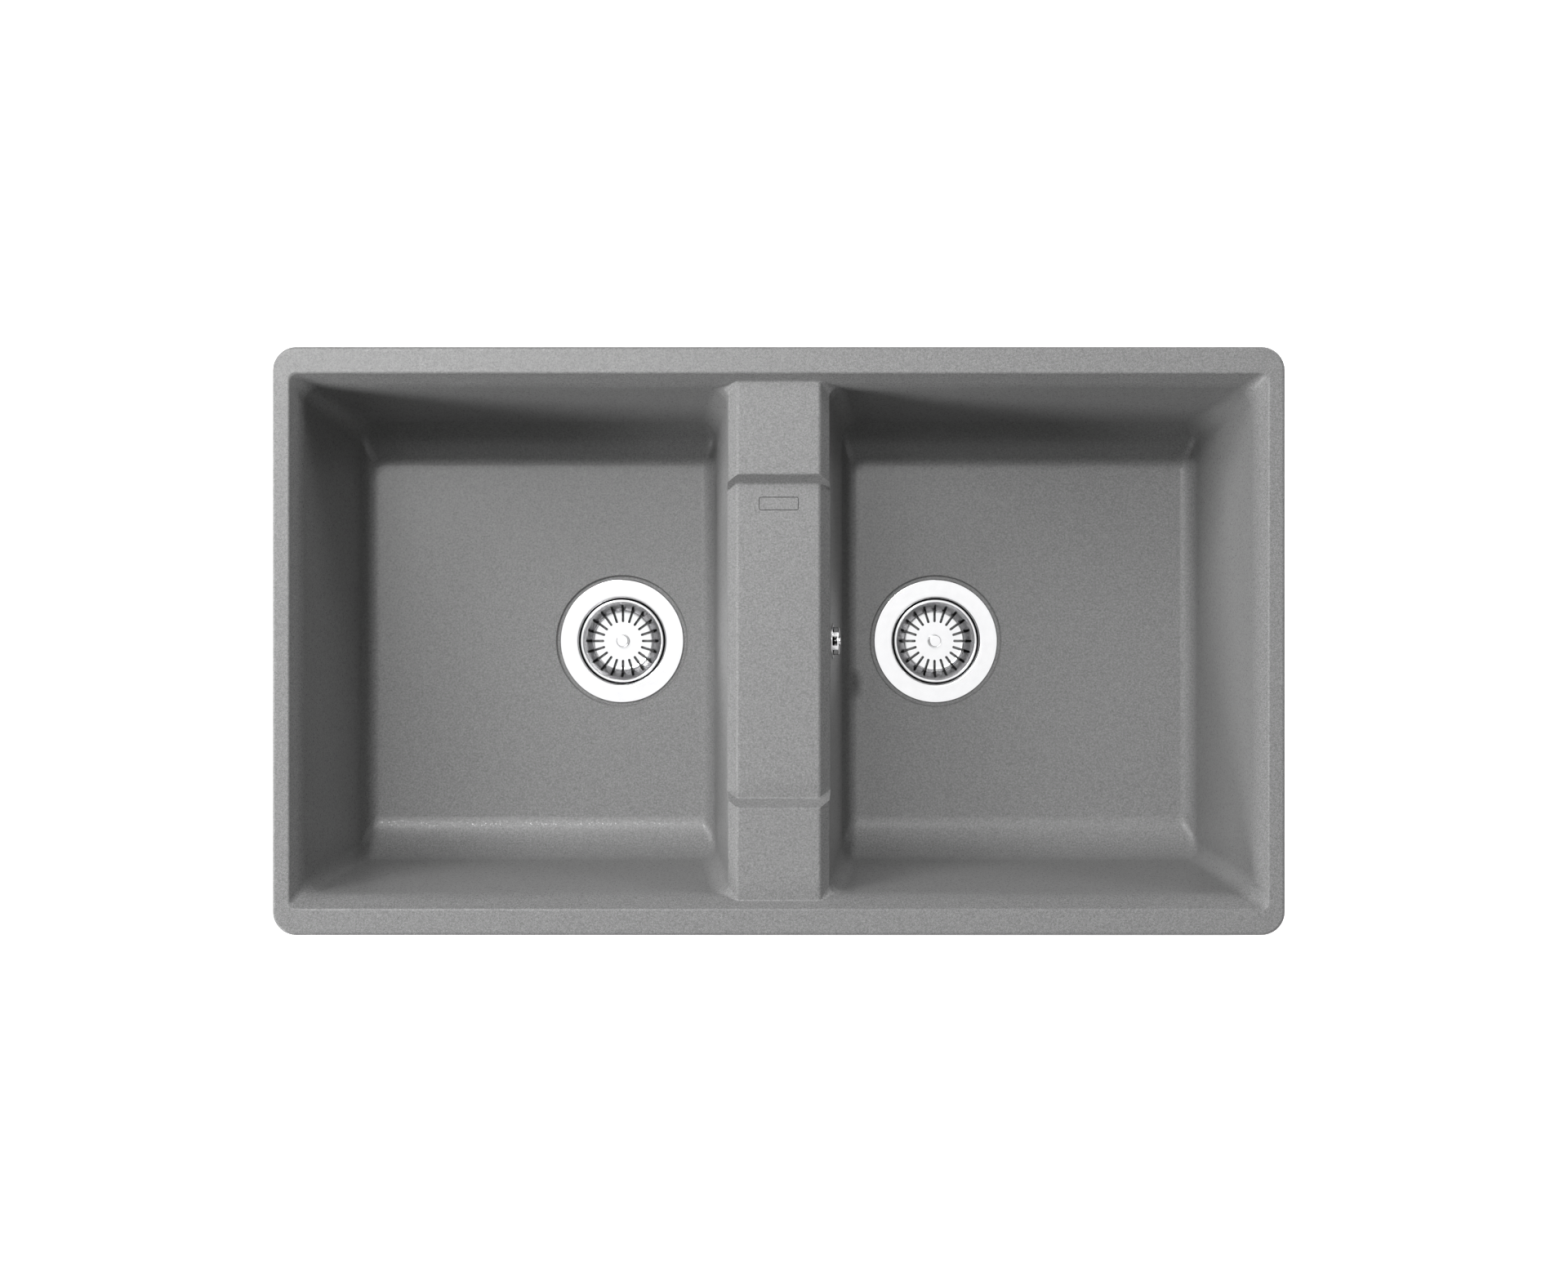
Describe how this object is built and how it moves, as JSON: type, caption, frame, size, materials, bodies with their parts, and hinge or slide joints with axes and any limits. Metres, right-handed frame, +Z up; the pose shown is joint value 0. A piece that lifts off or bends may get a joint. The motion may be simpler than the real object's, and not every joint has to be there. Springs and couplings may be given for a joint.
{
  "type": "kitchen sink",
  "caption": "Double-bowl granite composite drop-in kitchen sink with a stepped divider, steel basket strainers, overflow, bottle trap and worktop clamps.",
  "frame": {"origin": "centre of the worktop cut-out, on the worktop's top face, which is the underside of the rim seal", "axes": "+X along the sink to the right seen from the front, +Y to the back, +Z up"},
  "size_m": [0.86, 0.5, 0.4762],
  "materials": {
    "granite": "fine speckled matt grey",
    "polished_steel": "polished",
    "zinc_steel": "zinc plated",
    "brass": "machined",
    "white_plastic": "moulded satin",
    "nut_plastic": "moulded matt",
    "hose_plastic": "ribbed satin",
    "seal_rubber": "matt",
    "stopper_rubber": "matt"
  },
  "bodies": {
    "sink": {"sink_body": "granite", "rim_seal": "seal_rubber", "waste_tee": "white_plastic", "spigot_nuts": "nut_plastic", "tee_nuts": "nut_plastic", "trap_nuts": "nut_plastic", "pipe_seals": "seal_rubber", "trap_tube": "white_plastic", "trap_head": "white_plastic", "outlet_pipe": "white_plastic", "overflow_rosette": "polished_steel", "overflow_screw": "polished_steel", "overflow_gasket": "seal_rubber", "overflow_elbow": "white_plastic", "overflow_hose": "hose_plastic", "hose_clips": "zinc_steel", "clamp_inserts": "brass", "clamp_screws": "zinc_steel", "clamp_sleeves": "nut_plastic", "drain_cup_left": "polished_steel", "cup_gasket_left": "seal_rubber", "waste_gasket_left": "seal_rubber", "waste_body_left": "white_plastic", "waste_insert_left": "brass", "waste_screw_left": "polished_steel", "cross_pipe_left": "white_plastic", "drain_cup_right": "polished_steel", "cup_gasket_right": "seal_rubber", "waste_gasket_right": "seal_rubber", "waste_body_right": "white_plastic", "waste_insert_right": "brass", "waste_screw_right": "polished_steel", "cross_pipe_right": "white_plastic"},
    "strainer_left": {"strainer_basket_left": "polished_steel", "strainer_knob_left": "polished_steel", "strainer_stem_left": "polished_steel", "strainer_stopper_left": "stopper_rubber"},
    "strainer_right": {"strainer_basket_right": "polished_steel", "strainer_knob_right": "polished_steel", "strainer_stem_right": "polished_steel", "strainer_stopper_right": "stopper_rubber"},
    "claw_1": {"clamp_claw_1": "zinc_steel"},
    "claw_2": {"clamp_claw_2": "zinc_steel"},
    "claw_3": {"clamp_claw_3": "zinc_steel"},
    "claw_4": {"clamp_claw_4": "zinc_steel"},
    "claw_5": {"clamp_claw_5": "zinc_steel"},
    "claw_6": {"clamp_claw_6": "zinc_steel"},
    "trap_cup": {"trap_cup": "white_plastic", "trap_cup_seal": "seal_rubber"}
  },
  "joints": [
    {"name": "strainer_left_lift", "type": "slide", "parent": "sink", "child": "strainer_left", "axis": [0, 0, 1], "range_m": [0, 0.06]},
    {"name": "strainer_right_lift", "type": "slide", "parent": "sink", "child": "strainer_right", "axis": [0, 0, 1], "range_m": [0, 0.06]},
    {"name": "claw_1_swing", "type": "hinge", "parent": "sink", "child": "claw_1", "pos_m": [-0.3, 0.229, -0.0445], "axis": [0, 0, 1], "range_deg": [0, 90]},
    {"name": "claw_2_swing", "type": "hinge", "parent": "sink", "child": "claw_2", "pos_m": [0, 0.229, -0.0445], "axis": [0, 0, 1], "range_deg": [0, 90]},
    {"name": "claw_3_swing", "type": "hinge", "parent": "sink", "child": "claw_3", "pos_m": [0.3, 0.229, -0.0445], "axis": [0, 0, 1], "range_deg": [0, 90]},
    {"name": "claw_4_swing", "type": "hinge", "parent": "sink", "child": "claw_4", "pos_m": [-0.3, -0.229, -0.0445], "axis": [0, 0, 1], "range_deg": [0, 90]},
    {"name": "claw_5_swing", "type": "hinge", "parent": "sink", "child": "claw_5", "pos_m": [0, -0.229, -0.0445], "axis": [0, 0, 1], "range_deg": [0, 90]},
    {"name": "claw_6_swing", "type": "hinge", "parent": "sink", "child": "claw_6", "pos_m": [0.3, -0.229, -0.0445], "axis": [0, 0, 1], "range_deg": [0, 90]},
    {"name": "trap_cup_drop", "type": "slide", "parent": "sink", "child": "trap_cup", "axis": [0, 0, -1], "range_m": [0, 0.075]}
  ]
}
